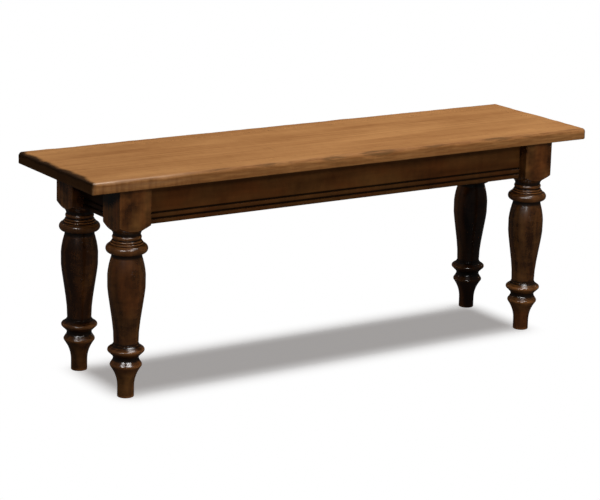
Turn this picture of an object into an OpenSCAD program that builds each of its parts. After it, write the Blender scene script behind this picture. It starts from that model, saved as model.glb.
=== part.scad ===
// A long bench on four turned legs. The legs are square blocks above and turned below. Four aprons with
// two beads along their lower edge are tenoned into the blocks, corner blocks stiffen the joints, and
// wooden buttons hold the seat, which is glued up from three boards. Millimetres, +Z up, +X along the
// bench. The origin is on the floor under the middle of the seat, and the front faces -Y.

/* [Seat] */
// Length of the seat
seat_l = 1219; // [900:1:1500]
// Depth of the seat, front to back
seat_w = 324; // [300:1:420]
// Thickness of the seat boards
seat_t = 24; // [20:0.5:32]
// Height of the seat above the floor
seat_h = 457; // [430:1:520]
// Width of the front board, and of the rear board
outer_board_w = 108; // [102:1:130]
// Rounding of the seat's upper edges
seat_top_round = 7; // [3:0.5:9]
// Rounding of the seat's lower edges
seat_low_round = 2; // [1:0.5:4]
// Rounding of the seat's four corners, seen from above
seat_corner = 9; // [5:0.5:20]
// How far the seat stands out past the legs at each end
end_overhang = 74; // [40:1:110]
// How far the seat stands out past the legs at front and back
side_overhang = 27; // [15:1:36]

/* [Leg block] */
// Width of the square block at the top of a leg
block_w = 70; // [66:1:76]
// Height of the block, from the seat down to where its corners are cut
block_h = 79; // [74:1:96]
// Rounding of the block's upright edges
block_edge = 1.5; // [0.5:0.25:3]
// Lean of the cone that cuts the block's corners, from the upright
shoulder_lean = 55.4; // [50:0.2:60]
// Radius of the neck under the block
neck_r = 27.4; // [26:0.2:28.4]
// Height of the neck, from the foot of the cone down to the small bead
neck_h = 6.8; // [6.6:0.2:12]
// Rounding between neck and cone
neck_cove = 12.4; // [8:0.2:12.4]

/* [Upper rings] */
// Height of the small bead under the neck
small_bead_h = 8.6; // [7:0.2:10]
// Radius of the small bead
small_bead_r = 29.3; // [28.6:0.1:30.5]
// Height of the second bead
second_bead_h = 4.9; // [4:0.1:5.5]
// Radius of the second bead
second_bead_r = 30.4; // [29.9:0.1:32]
// Height of the third bead, on the collar
third_bead_h = 3.4; // [2.6:0.1:5]
// Radius of the third bead
third_bead_r = 33.4; // [32.6:0.1:34.2]
// Height of the round collar
collar_h = 18.6; // [16:0.2:20]
// Radius of the round collar
collar_r = 42; // [41.4:0.2:46]
// Height of the hollow under the collar
hollow_h = 6.4; // [4:0.2:8]

/* [Vase] */
// Radius at the top of the vase
vase_top_r = 30.5; // [28:0.1:31]
// Largest radius of the vase
vase_r = 38.3; // [35:0.1:41]
// Smallest radius, at the foot of the vase
vase_low_r = 24.9; // [22:0.1:25.6]
// Radius of the small step between vase and large bead
step_r = 26.4; // [26:0.2:28]
// Height of the small step
step_h = 1.8; // [1:0.2:3]

/* [Lower rings and foot] */
// Height of the large bead's edge above the floor
large_bead_z = 98.2; // [96:0.2:105]
// Radius of the large bead
large_bead_r = 37.1; // [35:0.1:40]
// Rounding of the large bead's edge
large_bead_nose = 5; // [3:0.25:7]
// Lean of the large bead's lower side
large_low_lean = 45.6; // [42:0.2:50]
// Lean of the large bead's upper side
large_top_lean = 55; // [48:0.5:58]
// Height of the small lower bead's edge above the floor
low_bead_z = 66.9; // [64:0.2:69]
// Radius of the small lower bead
low_bead_r = 32.1; // [30:0.1:33]
// Rounding of the small lower bead's edge
low_bead_nose = 5; // [3:0.25:6]
// Lean of the small lower bead's lower side
low_low_lean = 33.4; // [30:0.2:38]
// Lean of the small lower bead's upper side
low_top_lean = 32.2; // [28:0.2:36]
// Rounding of the hollow between the two lower beads
hollow_round = 8; // [5:0.25:9]
// Radius of the foot
foot_r = 16.8; // [15:0.2:19]
// Rounding between foot and small lower bead
foot_flare = 68; // [50:1:70]
// Rounding of the foot's lower edge
foot_edge = 1.5; // [0.5:0.25:3]

/* [Aprons] */
// Height of an apron
apron_h = 84; // [78:1:96]
// Thickness of an apron
apron_t = 22; // [19:0.5:25]
// Height of each of the two beads along the lower edge
bead_h = 8.6; // [7:0.2:10]
// How far the edges of a bead fall back from the apron's face
bead_fall = 1.2; // [0.6:0.1:1.8]
// Width of each groove above a bead
groove_w = 3.4; // [2:0.2:4.4]
// Depth of each groove
groove_d = 3; // [2:0.2:4]

/* [Joints] */
// Thickness of a tenon
tenon_t = 10; // [7:0.5:12]
// Length of a tenon
tenon_l = 27; // [20:0.5:27]
// Shoulder below a tenon
tenon_low = 10; // [6:0.5:14]
// Shoulder above a tenon
tenon_high = 14; // [8:0.5:20]
// Clearance round a tenon or tongue
joint_gap = 0.15; // [0.1:0.05:0.3]
// Room past the end of a tenon or tongue
end_gap = 0.8; // [0.4:0.1:1.2]

/* [Corner blocks] */
// Thickness of a corner block
corner_t = 22; // [20:0.5:26]
// Height of a corner block
corner_h = 46; // [40:1:52]
// Drop of a corner block below the seat
corner_drop = 5; // [2:0.5:10]
// Width of the flat on a leg where a corner block bears
flat_w = 14; // [12:0.5:18]
// Distance of a corner block's screws from its edge along the apron
corner_screw_in = 16; // [14:0.5:20]
// Distance of a corner block's screws from its top and its bottom
corner_screw_drop = 10; // [8:0.5:14]

/* [Cross rail] */
// Thickness of the rail
rail_t = 22; // [19:0.5:26]
// Height of the rail
rail_h = 50; // [42:1:64]
// Length of the rail's tenons
rail_tenon_l = 8; // [6:0.5:10]
// Thickness of the rail's tenons
rail_tenon_t = 12; // [8:0.5:14]
// Shoulder above and below the rail's tenons
rail_shoulder = 10; // [6:0.5:12]
// Distance of the rail's outer screws from its middle
rail_screw_y = 74; // [62:1:76]

/* [Buttons] */
// Distance of the inner buttons from the middle of the bench
button_inner_x = 140; // [60:1:180]
// Distance of the outer buttons from the leg blocks
button_end = 135.5; // [90:0.5:240]
// Width of a button
button_w = 28; // [22:1:34]
// Length of a button, without its tongue
button_l = 34; // [28:1:40]
// Height of a button
button_h = 21; // [19:0.5:24]
// Height of a button's tongue
tongue_h = 9; // [7:0.5:11]
// Length of a button's tongue
tongue_l = 8; // [6:0.5:10]
// Cut on the lower inner edge of a button
button_cut = 4; // [2:0.5:8]
// Distance of a button's screw from its apron
button_screw_y = 20; // [15:0.5:21]

/* [Screws] */
// Radius of a screw's shank
screw_r = 2.1; // [1.8:0.1:2.6]
// Radius of a screw's head
head_r = 4.2; // [3.8:0.1:5]
// Length of the screws through corner blocks
corner_screw_l = 28; // [25:0.5:30]
// Length of the screws through buttons and rail
seat_screw_l = 32; // [28:0.5:36]
// Radius of the shank of the screws into the legs
leg_screw_r = 3; // [2.4:0.1:3.4]
// Radius of the head of the screws into the legs
leg_head_r = 5.8; // [5:0.1:6.4]
// Length of the screws into the legs
leg_screw_l = 44; // [36:0.5:45]
// Width of the square drive recess in a screw's head
drive_w = 2.4; // [1.8:0.1:2.8]

/* [Hidden] */
$fn = 48;
// The most that an outline's straight steps stand off its true arc.
arc_error = 0.04;
// How far a cutting shape runs past the face that it cuts.
past = 1;
// Clearance round a screw.
screw_gap = 0.05;
// Thickness of the rim of a screw's head, above its cone.
head_rim = 0.5;
// Space between the two upper beads.
bead_gap = 1.2;
// How far the beads, and the collar, stand off the circles that they come close to.
bead_ease = 0.05;
neck_ease = 0.2;

middle_w = seat_w - 2 * outer_board_w;
leg_h = seat_h - seat_t;
leg_x = seat_l / 2 - end_overhang - block_w / 2;
leg_y = seat_w / 2 - side_overhang - block_w / 2;
span_x = 2 * leg_x - block_w;
span_y = 2 * leg_y - block_w;
inner_y = leg_y - apron_t / 2;
inner_x = leg_x - apron_t / 2;
apron_z = leg_h - apron_h;

// Heights of a leg's turned rings, from the block down.
block_z = leg_h - block_h;
block_reach = block_w / sqrt(2) + past;
neck_z = block_z - (block_w / sqrt(2) - neck_r) / tan(shoulder_lean);
small_bead_z = neck_z - neck_h - small_bead_h;
second_bead_z = small_bead_z - bead_gap - second_bead_h;
third_bead_z = second_bead_z - third_bead_h;
collar_z = third_bead_z - collar_h;
vase_top_z = collar_z - hollow_h;

// The lower rings. Each bead is two slopes that meet in a rounded edge, and its peak is where they
// would meet without the rounding.
large_peak = peak_r(large_bead_r, large_bead_nose, large_low_lean, large_top_lean);
low_peak = peak_r(low_bead_r, low_bead_nose, low_low_lean, low_top_lean);
hollow_z = (low_peak - large_peak + tan(low_top_lean) * low_bead_z + tan(large_low_lean) * large_bead_z)
    / (tan(low_top_lean) + tan(large_low_lean));
hollow_r = low_peak - tan(low_top_lean) * (hollow_z - low_bead_z);
flare_z = low_bead_z - (low_peak - foot_r) / tan(low_low_lean);
step_z = large_bead_z + (large_peak - step_r) / tan(large_top_lean);
vase_z = step_z + step_h;

// The vase: corners of its outline, as shares of its height, with how far each one's rounding reaches.
vase_h = vase_top_z - vase_z;
vase_corners = [
    [vase_low_r, vase_z + 0.142 * vase_h, 0.128 * vase_h],
    [vase_r, vase_z + 0.646 * vase_h, 0.085 * vase_h],
    [vase_r, vase_z + 0.846 * vase_h, 0.115 * vase_h]
];

// Corner blocks lie across the corners, between these distances from the leg's axis.
corner_near = block_w / sqrt(2) - flat_w / 2;
corner_far = corner_near + corner_t;
corner_z = leg_h - corner_drop - corner_h;
corner_edge = sqrt(2) * corner_far;
corner_screw_x = corner_edge - apron_t / 2 - corner_screw_in;
corner_screw_y = corner_edge - corner_screw_x - head_r - screw_gap;
corner_screw_z = [corner_z + corner_screw_drop, corner_z + corner_h - corner_screw_drop];
leg_screw_z = corner_z + corner_h / 2;

rail_z = leg_h - rail_h;
button_z = leg_h - button_h;
button_outer_x = span_x / 2 - button_end;
button_x = [-button_outer_x, -button_inner_x, button_inner_x, button_outer_x];

COLOR_SEAT = [0.60, 0.38, 0.21];
COLOR_BASE = [0.26, 0.14, 0.07];
COLOR_INSIDE = [0.74, 0.58, 0.40];
COLOR_STEEL = [0.72, 0.72, 0.70];

// Radius at which a bead's two slopes would meet.
function peak_r(r, nose, low, top) = r + nose * (cos((top - low) / 2) / cos((top + low) / 2) - 1);

// Points of an arc round a centre, from one angle to another.
function arc(centre, r, from, to) =
    let (steps = max(2, ceil(abs(to - from) / (2 * acos(1 - arc_error / max(r, 4 * arc_error))))))
    [for (i = [0 : steps])
        let (a = from + (to - from) * i / steps)
        centre + r * [cos(a), sin(a)]];

// Half the angle between the edges that meet at corner b.
function half_angle(a, b, c) = acos((a - b) * (c - b) / norm(a - b) / norm(c - b)) / 2;

// Rounding radius at corner b that starts this far from the corner.
function reach_round(a, b, c, reach) = reach * tan(half_angle(a, b, c));

// The arc that rounds corner b, between its neighbours a and c.
function corner_arc(a, b, c, r) =
    let (
        u = (a - b) / norm(a - b),
        v = (c - b) / norm(c - b),
        half = half_angle(a, b, c),
        centre = b + (u + v) / norm(u + v) * r / sin(half),
        start = b + u * r / tan(half) - centre,
        end = b + v * r / tan(half) - centre,
        from = atan2(start[1], start[0]),
        turn = (atan2(end[1], end[0]) - from + 540) % 360 - 180
    )
    arc(centre, r, from, from + turn);

function flat(p) = [p[0], p[1]];

// An outline from its corners [x, y, rounding]. A rounding of 0 leaves the corner sharp.
function eased(corners) =
    let (n = len(corners))
    [for (i = [0 : n - 1])
        let (c = corners[i])
        each c[2] == 0
            ? [flat(c)]
            : corner_arc(flat(corners[(i + n - 1) % n]), flat(c), flat(corners[(i + 1) % n]), c[2])];

// The side of a round bead of height h and radius r that springs from radius low_r.
function bead(z, h, low_r, r) =
    let (rise = r - low_r, round = (h * h / 4 + rise * rise) / (2 * rise), half = asin(h / 2 / round))
    arc([r - round, z + h / 2], round, -half, half);

// The side of a bead that is close to a half circle.
function full_bead(z, h, r) = bead(z, h, r - h / 2 + bead_ease, r);

// The outline that a leg is turned to, as radius and height, from the floor up.
function foot_outline() = eased([
    [0, 0, 0],
    [foot_r, 0, foot_edge],
    [foot_r, flare_z, foot_flare],
    [low_peak, low_bead_z, low_bead_nose],
    [hollow_r, hollow_z, hollow_round],
    [large_peak, large_bead_z, large_bead_nose],
    [step_r, step_z, 0],
    [step_r, vase_z, 0]
]);

function vase_outline() =
    let (p = concat([[vase_low_r, vase_z]], [for (c = vase_corners) flat(c)], [[vase_top_r, vase_top_z]]))
    concat(
        [p[0]],
        [for (i = [1 : 3])
            each corner_arc(p[i - 1], p[i], p[i + 1],
                reach_round(p[i - 1], p[i], p[i + 1], vase_corners[i - 1][2]))],
        [p[4]]
    );

function ring_outline() = concat(
    [[vase_top_r, collar_z - past], [collar_r - collar_h / 2, collar_z]],
    full_bead(collar_z, collar_h, collar_r),
    full_bead(third_bead_z, third_bead_h, third_bead_r),
    full_bead(second_bead_z, second_bead_h, second_bead_r),
    [[neck_r - neck_ease, second_bead_z + second_bead_h]],
    bead(small_bead_z, small_bead_h, neck_r - neck_ease, small_bead_r)
);

function shoulder_outline() = eased([
    [neck_r, small_bead_z + small_bead_h, 0],
    [neck_r, neck_z, neck_cove],
    [block_reach, neck_z + (block_reach - neck_r) / tan(shoulder_lean), 0],
    [block_reach, leg_h, 0],
    [0, leg_h, 0]
]);

// The outline of a square with eased corners.
function square_outline(w, edge) =
    eased([for (s = [[-1, -1], [1, -1], [1, 1], [-1, 1]]) [s[0] * w / 2, s[1] * w / 2, edge]]);

// Copies a shape made for the front left corner, about the leg's axis, to the corner (side, end).
module at_corner(side, end) {
    mirror([side > 0 ? 1 : 0, 0, 0])
        mirror([0, end > 0 ? 1 : 0, 0])
            translate([-leg_x, -leg_y, 0])
                children();
}

// A countersunk screw that points down, with the top of its head at the origin.
module screw(l, r, head) {
    rise = head - r + head_rim;
    tip = 4 * r;
    tip_r = r / 5;
    difference() {
        rotate_extrude()
            polygon([[0, 0], [head, 0], [head, -head_rim], [r, -rise], [r, tip - l], [tip_r, -l], [0, -l]]);
        translate([-drive_w / 2, -drive_w / 2, -rise])
            cube([drive_w, drive_w, rise + past]);
    }
}

// The hole for such a screw, open upwards over the height sink.
module screw_room(l, r, head, sink) {
    rise = head - r + head_rim;
    wide = head + screw_gap;
    slim = r + screw_gap;
    rotate_extrude()
        polygon([[0, sink], [wide, sink], [wide, -head_rim], [slim, -rise - screw_gap],
            [slim, -l - screw_gap], [0, -l - screw_gap]]);
}

// Places of the screws, each turned from pointing down.
module at_corner_screws() {
    for (z = corner_screw_z) {
        translate([corner_screw_x, corner_screw_y, z])
            rotate([-90, 0, 0])
                children();
    }
    for (z = corner_screw_z) {
        translate([corner_screw_y, corner_screw_x, z])
            rotate([0, 90, 0])
                children();
    }
}

module at_leg_screw() {
    rotate([0, 0, 45])
        translate([corner_far - leg_head_r / 2, 0, leg_screw_z])
            rotate([0, 90, 0])
                children();
}

// Buttons are made for a long apron's inner face at y = 0, with the tongue towards -Y.
module at_front_buttons(places) {
    for (x = places)
        translate([x, -inner_y, 0])
            children();
}

module at_end_button(end) {
    rotate([0, 0, end < 0 ? -90 : 90])
        translate([0, -inner_x, 0])
            children();
}

module at_all_buttons() {
    for (turn = [0, 180])
        rotate([0, 0, turn])
            at_front_buttons(button_x)
                children();
    for (end = [-1, 1])
        at_end_button(end)
            children();
}

module at_button_screw() {
    translate([0, button_screw_y, button_z])
        rotate([180, 0, 0])
            children();
}

module at_rail_screws() {
    for (y = [-rail_screw_y, 0, rail_screw_y])
        translate([0, y, button_z])
            rotate([180, 0, 0])
                children();
}

// The whole seat as one slab with rounded edges.
module seat_slab() {
    intersection() {
        rotate([90, 0, 0])
            linear_extrude(seat_w, center = true)
                polygon(slab_outline(seat_l));
        rotate([90, 0, 90])
            linear_extrude(seat_l, center = true)
                polygon(slab_outline(seat_w));
        linear_extrude(seat_h + past)
            polygon(eased([for (s = [[-1, -1], [1, -1], [1, 1], [-1, 1]])
                [s[0] * seat_l / 2, s[1] * seat_w / 2, seat_corner]]));
    }
}

function slab_outline(w) = eased([
    [-w / 2, leg_h, seat_low_round],
    [w / 2, leg_h, seat_low_round],
    [w / 2, seat_h, seat_top_round],
    [-w / 2, seat_h, seat_top_round]
]);

// The strip of the seat between two distances from its middle line, with its screw holes.
module seat_board(from, to) {
    color(COLOR_SEAT)
        difference() {
            intersection() {
                seat_slab();
                translate([-seat_l / 2 - past, from, leg_h - past])
                    cube([seat_l + 2 * past, to - from, seat_t + 2 * past]);
            }
            at_all_buttons()
                at_button_screw()
                    screw_room(seat_screw_l, screw_r, head_r, past);
            at_rail_screws()
                screw_room(seat_screw_l, screw_r, head_r, past);
        }
}

// A mortise in the face x = block_w / 2 of a leg's block.
module leg_mortise() {
    translate([block_w / 2 - tenon_l - end_gap, -tenon_t / 2 - joint_gap, apron_z + tenon_low - joint_gap])
        cube([tenon_l + end_gap + past, tenon_t + 2 * joint_gap,
            apron_h - tenon_low - tenon_high + 2 * joint_gap]);
}

module leg() {
    color(COLOR_BASE)
        difference() {
            intersection() {
                rotate_extrude()
                    polygon(concat(foot_outline(), vase_outline(), ring_outline(), shoulder_outline()));
                union() {
                    translate([0, 0, -past])
                        cylinder(h = small_bead_z + small_bead_h + past, r = collar_r + past);
                    translate([0, 0, small_bead_z + small_bead_h])
                        linear_extrude(leg_h - small_bead_z)
                            polygon(square_outline(block_w, block_edge));
                }
            }
            leg_mortise();
            mirror([1, -1, 0])
                leg_mortise();
            rotate([0, 0, 45])
                translate([corner_near, -block_w / 2, corner_z - joint_gap])
                    cube([block_w, block_w, leg_h]);
            at_leg_screw()
                screw_room(leg_screw_l, leg_screw_r, leg_head_r, past);
        }
}

// The section of an apron: outer face towards -x, lower edge at y = 0.
function apron_outline() =
    let (
        face = -apron_t / 2,
        root = face + bead_fall,
        pitch = bead_h + groove_w
    )
    concat(
        [for (i = [0, 1]) each concat(
            [for (p = bead(i * pitch, bead_h, -root, -face)) [-p[0], p[1]]],
            [[face + groove_d, i * pitch + bead_h + groove_w / 2]]
        )],
        [[face, 2 * pitch], [face, apron_h], [-face, apron_h], [-face, 0]]
    );

// The slot for a button's tongue, in a face at y = 0.
module tongue_slot() {
    translate([-button_w / 2 - joint_gap, -tongue_l - end_gap, -joint_gap])
        cube([button_w + 2 * joint_gap, tongue_l + end_gap + past, tongue_h + 2 * joint_gap]);
}

// An apron along X with its outer face towards -Y, for a span between two blocks.
module apron(span, buttons) {
    color(COLOR_BASE)
        difference() {
            union() {
                rotate([90, 0, 90])
                    translate([0, apron_z, -span / 2])
                        linear_extrude(span)
                            polygon(apron_outline());
                for (end = [0, 1])
                    mirror([end, 0, 0])
                        translate([-span / 2 - tenon_l, -tenon_t / 2, apron_z + tenon_low])
                            cube([tenon_l + past, tenon_t, apron_h - tenon_low - tenon_high]);
            }
            for (x = buttons)
                translate([x, apron_t / 2, button_z])
                    tongue_slot();
            for (end = [0, 1])
                mirror([end, 0, 0])
                    translate([-span / 2 - block_w / 2, 0, 0])
                        at_corner_screws()
                            screw_room(corner_screw_l, screw_r, head_r, 0);
        }
}

// The mortise for the cross rail's tenon, in a face at y = 0.
module rail_mortise() {
    translate([-rail_tenon_t / 2 - joint_gap, -rail_tenon_l - end_gap, -joint_gap])
        cube([rail_tenon_t + 2 * joint_gap, rail_tenon_l + end_gap + past,
            rail_h - 2 * rail_shoulder + 2 * joint_gap]);
}

module long_apron() {
    difference() {
        apron(span_x, button_x);
        translate([0, apron_t / 2, rail_z + rail_shoulder])
            rail_mortise();
    }
}

module apron_front() {
    translate([0, -leg_y, 0])
        long_apron();
}

module apron_end(end) {
    rotate([0, 0, end < 0 ? -90 : 90])
        translate([0, -leg_x, 0])
            apron(span_y, [0]);
}

module corner_block() {
    side = apron_t / 2;
    near = sqrt(2) * corner_near;
    color(COLOR_INSIDE)
        difference() {
            translate([0, 0, corner_z])
                linear_extrude(corner_h)
                    polygon([[side, near - side], [near - side, side], [corner_edge - side, side],
                        [side, corner_edge - side]]);
            at_corner_screws()
                screw_room(corner_screw_l, screw_r, head_r, corner_t);
            at_leg_screw()
                screw_room(leg_screw_l, leg_screw_r, leg_head_r, corner_t);
        }
}

module cross_rail() {
    color(COLOR_INSIDE)
        difference() {
            union() {
                translate([-rail_t / 2, -inner_y, rail_z])
                    cube([rail_t, 2 * inner_y, rail_h]);
                translate([-rail_tenon_t / 2, -inner_y - rail_tenon_l, rail_z + rail_shoulder])
                    cube([rail_tenon_t, 2 * (inner_y + rail_tenon_l), rail_h - 2 * rail_shoulder]);
            }
            at_rail_screws()
                screw_room(seat_screw_l, screw_r, head_r, rail_h);
        }
}

module button() {
    color(COLOR_INSIDE)
        difference() {
            rotate([90, 0, 90])
                translate([0, button_z, -button_w / 2])
                    linear_extrude(button_w)
                        polygon([[-tongue_l, 0], [button_l - button_cut, 0], [button_l, button_cut],
                            [button_l, button_h], [0, button_h], [0, tongue_h], [-tongue_l, tongue_h]]);
            at_button_screw()
                screw_room(seat_screw_l, screw_r, head_r, past);
        }
}

module button_front(i) {
    at_front_buttons([button_x[i - 1]])
        button();
}

module button_rear(i) {
    mirror([0, 1, 0])
        button_front(i);
}

module corner_block_screws() {
    color(COLOR_STEEL)
        for (side = [-1, 1], end = [-1, 1])
            at_corner(side, end)
                at_corner_screws()
                    screw(corner_screw_l, screw_r, head_r);
}

module leg_screws() {
    color(COLOR_STEEL)
        for (side = [-1, 1], end = [-1, 1])
            at_corner(side, end)
                at_leg_screw()
                    screw(leg_screw_l, leg_screw_r, leg_head_r);
}

module button_screws() {
    color(COLOR_STEEL)
        at_all_buttons()
            at_button_screw()
                screw(seat_screw_l, screw_r, head_r);
}

module rail_screws() {
    color(COLOR_STEEL)
        at_rail_screws()
            screw(seat_screw_l, screw_r, head_r);
}

seat_board(-seat_w / 2 - past, -middle_w / 2);  // seat_board_front
seat_board(-middle_w / 2, middle_w / 2);  // seat_board_middle
seat_board(middle_w / 2, seat_w / 2 + past);  // seat_board_rear
at_corner(-1, -1) leg();  // leg_front_left
at_corner(1, -1) leg();  // leg_front_right
at_corner(-1, 1) leg();  // leg_rear_left
at_corner(1, 1) leg();  // leg_rear_right
apron_front();
mirror([0, 1, 0]) apron_front();  // apron_rear
apron_end(-1);  // apron_left
apron_end(1);  // apron_right
at_corner(-1, -1) corner_block();  // corner_block_front_left
at_corner(1, -1) corner_block();  // corner_block_front_right
at_corner(-1, 1) corner_block();  // corner_block_rear_left
at_corner(1, 1) corner_block();  // corner_block_rear_right
cross_rail();
button_front(1);  // button_front_1
button_front(2);  // button_front_2
button_front(3);  // button_front_3
button_front(4);  // button_front_4
button_rear(1);  // button_rear_1
button_rear(2);  // button_rear_2
button_rear(3);  // button_rear_3
button_rear(4);  // button_rear_4
at_end_button(-1) button();  // button_left
at_end_button(1) button();  // button_right
corner_block_screws();
leg_screws();
button_screws();
rail_screws();
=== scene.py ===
"""The looks of a bench on four turned legs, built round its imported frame.

Metres, +Z up, +X along the bench. The front faces -Y.
"""
import bisect
import math

import bmesh
import bpy
from mathutils import Matrix, Vector, noise


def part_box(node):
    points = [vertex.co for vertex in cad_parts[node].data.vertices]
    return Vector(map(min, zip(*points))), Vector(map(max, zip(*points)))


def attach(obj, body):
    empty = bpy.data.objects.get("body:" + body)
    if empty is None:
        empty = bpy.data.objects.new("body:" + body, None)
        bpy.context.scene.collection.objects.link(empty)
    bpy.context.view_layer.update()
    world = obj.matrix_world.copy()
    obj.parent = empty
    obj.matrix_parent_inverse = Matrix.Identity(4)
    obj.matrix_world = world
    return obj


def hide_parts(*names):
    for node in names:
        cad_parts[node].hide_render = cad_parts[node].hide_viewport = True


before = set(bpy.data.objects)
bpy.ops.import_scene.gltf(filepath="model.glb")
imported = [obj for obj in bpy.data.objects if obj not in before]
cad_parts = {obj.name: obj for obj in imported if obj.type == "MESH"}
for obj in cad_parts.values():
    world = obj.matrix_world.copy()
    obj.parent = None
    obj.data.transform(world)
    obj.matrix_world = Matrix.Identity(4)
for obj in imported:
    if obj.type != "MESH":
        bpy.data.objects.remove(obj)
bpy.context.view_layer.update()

# Places that come from the frame.
seat_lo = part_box("seat_board_front")[0]
seat_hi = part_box("seat_board_rear")[1]
joint_lo, joint_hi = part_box("seat_board_middle")
leg_lo, leg_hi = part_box("leg_front_right")
LEG_X = (leg_lo.x + leg_hi.x) / 2
LEG_Y = -(leg_lo.y + leg_hi.y) / 2
LEG_H = leg_hi.z
COLLAR_R = (leg_hi.x - leg_lo.x) / 2
apron_lo, apron_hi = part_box("apron_front")
APRON_Z = apron_lo.z
APRON_H = apron_hi.z - apron_lo.z
APRON_T = apron_hi.y - apron_lo.y
rail_lo, rail_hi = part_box("cross_rail")
button_lo, button_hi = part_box("button_front_1")

# The corners of the frame: name, side along X and end along Y.
CORNERS = (
    ("front_left", -1, -1),
    ("front_right", 1, -1),
    ("rear_left", -1, 1),
    ("rear_right", 1, 1),
)

# Sizes of a leg, from its block down.
BLOCK_W = 0.070
BLOCK_H = 0.079
BLOCK_EDGE = 0.0015
SHOULDER_LEAN = math.radians(55.4)
SHOULDER_ROUND = 0.0011
NECK_R = 0.0274
NECK_H = 0.0068
NECK_COVE = 0.0124
SMALL_BEAD_H = 0.0086
SMALL_BEAD_R = 0.0293
BEAD_GAP = 0.0012
FULL_BEAD_SHY = 0.00005
NECK_STEP = 0.0002
SECOND_BEAD_H = 0.0049
SECOND_BEAD_R = 0.0304
THIRD_BEAD_H = 0.0034
THIRD_BEAD_R = 0.0334
COLLAR_H = 0.0186
HOLLOW_H = 0.0064
VASE_TOP_R = 0.0305
VASE_R = 0.0383
VASE_LOW_R = 0.0249
STEP_R = 0.0264
STEP_H = 0.0018
LARGE_BEAD_Z = 0.0982
LARGE_BEAD_R = 0.0371
LARGE_LOW_LEAN = math.radians(45.6)
LARGE_TOP_LEAN = math.radians(55)
LOW_BEAD_Z = 0.0669
LOW_BEAD_R = 0.0321
BEAD_NOSE = 0.005
LOW_LOW_LEAN = math.radians(33.4)
LOW_TOP_LEAN = math.radians(32.2)
HOLLOW_ROUND = 0.008
FOOT_R = 0.0168
FOOT_FLARE = 0.068
FOOT_EDGE = 0.0015
TURNED_EASE = 0.00035
# Corners of the vase's side: radius, then height and reach of the rounding as shares of its height.
VASE_CORNERS = (
    (VASE_LOW_R, 0.142, 0.128),
    (VASE_R, 0.646, 0.085),
    (VASE_R, 0.846, 0.115),
)

# Sizes of the joinery.
BEAD_H = 0.0086
BEAD_FALL = 0.0012
GROOVE_W = 0.0034
GROOVE_D = 0.003
TENON_T = 0.010
TENON_L = 0.027
TENON_LOW = 0.010
TENON_HIGH = 0.014
JOINT_GAP = 0.00015
END_GAP = 0.0008
FLAT_W = 0.014
FLAT_REACH = BLOCK_W / math.sqrt(2) - FLAT_W / 2
CORNER_T = 0.022
CORNER_H = 0.046
CORNER_DROP = 0.005
CORNER_SCREW_IN = 0.016
CORNER_SCREW_DROP = 0.010
RAIL_TENON_T = 0.012
RAIL_TENON_L = 0.008
RAIL_SHOULDER = 0.010
RAIL_SCREW_Y = 0.074
TONGUE_H = 0.009
TONGUE_L = 0.008
BUTTON_CUT = 0.004
BUTTON_SCREW_Y = 0.020
SCREW_R = 0.0021
HEAD_R = 0.0042
HEAD_RIM = 0.0005
LEG_HEAD_R = 0.0058
EASE = 0.0006
PAST = 0.001

# The worn edge of the seat.
# Rounding of its corners from above: front left, front right, rear right, rear left.
CORNER_ROUNDS = (0.004, 0.010, 0.009, 0.007)
TOP_ROUND = 0.007
LOW_ROUND = 0.002
MOST_IN = 0.016
MOST_DOWN = 0.0165
EDGE_STEP = 0.0022
INNER_RING = 0.045
# Waves of the wear along the edge: length and shift.
WEAR_WAVES = (
    (0.170, Vector((3.1, 0, 0))),
    (0.060, Vector((0, 7.7, 0))),
    (0.021, Vector((0, 0, 5.3))),
)
# Bites at the left end: length, and how much further wear reaches in and down there.
BITE_L = 0.045
BITE_IN = 0.006
BITE_DOWN = 0.004
# Scooped hollows along the front edge: middle, half length and depth.
SCOOPS = (
    (-0.330, 0.050, 0.0012),
    (-0.200, 0.060, 0.0016),
    (-0.050, 0.045, 0.0030),
    (0.052, 0.062, 0.0034),
    (0.195, 0.050, 0.0011),
    (0.355, 0.060, 0.0020),
    (0.446, 0.036, 0.0010),
    (0.550, 0.040, 0.0006),
)
DEEP_SCOOP = 0.003
# Depth of the small dents in the worn edge.
DENT = 0.00055
# The pale stretch of the front edge, rubbed and with a painted highlight, and the reach of a painted bright
# line from its corner.
RUB_AND_HIGHLIGHT = (-0.500, 0.160)
GLINT_REACH = 0.085
# A hairline mark across the seat's grain: its ends and width.
MARK_FROM = Vector((-0.131, -0.013))
MARK_TO = Vector((-0.138, -0.075))
MARK_W = 0.0016

# Fineness of the meshes.
ARC_STEP = math.radians(5)
ROUND_STEPS = 112
LEG_STEP = 0.006
APRON_STEP = 0.0016
APRON_LENGTHS = 24
DRILL_STEPS = 32
SHARP = math.radians(34)
BEVEL_FROM = math.radians(40)
# Degrees beside a block's upright edge with close steps, and where the even steps begin.
EDGE_TURNS = (-1.22, -0.85, -0.42, 0, 0.42, 0.85, 1.22)
EDGE_CLEAR = 1.4
# Reaches over which wear and painted light follow an outline's bends, the full bend, and their share on a
# leg. The painted light is shade in creases and a highlight on edges.
FINE_BEND = 0.0024
WIDE_BEND = 0.007
FULL_BEND = math.radians(60)
LEG_WEAR_AND_LIGHT = 0.6


# Outlines

def arc(centre, radius, start, end):
    """Points of an arc from one angle to another."""
    steps = max(2, math.ceil(abs(end - start) / ARC_STEP))
    angles = (start + (end - start) * i / steps for i in range(steps + 1))
    return [centre + radius * Vector((math.cos(a), math.sin(a))) for a in angles]


def corner_arc(before, corner, after, radius):
    """The arc that rounds a corner between its two neighbours."""
    u = (before - corner).normalized()
    v = (after - corner).normalized()
    half = u.angle(v) / 2
    centre = corner + (u + v).normalized() * radius / math.sin(half)
    start = corner + u * radius / math.tan(half) - centre
    end = corner + v * radius / math.tan(half) - centre
    first = math.atan2(start.y, start.x)
    turn = (math.atan2(end.y, end.x) - first + 3 * math.pi) % (2 * math.pi) - math.pi
    return arc(centre, radius, first, first + turn)


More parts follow.
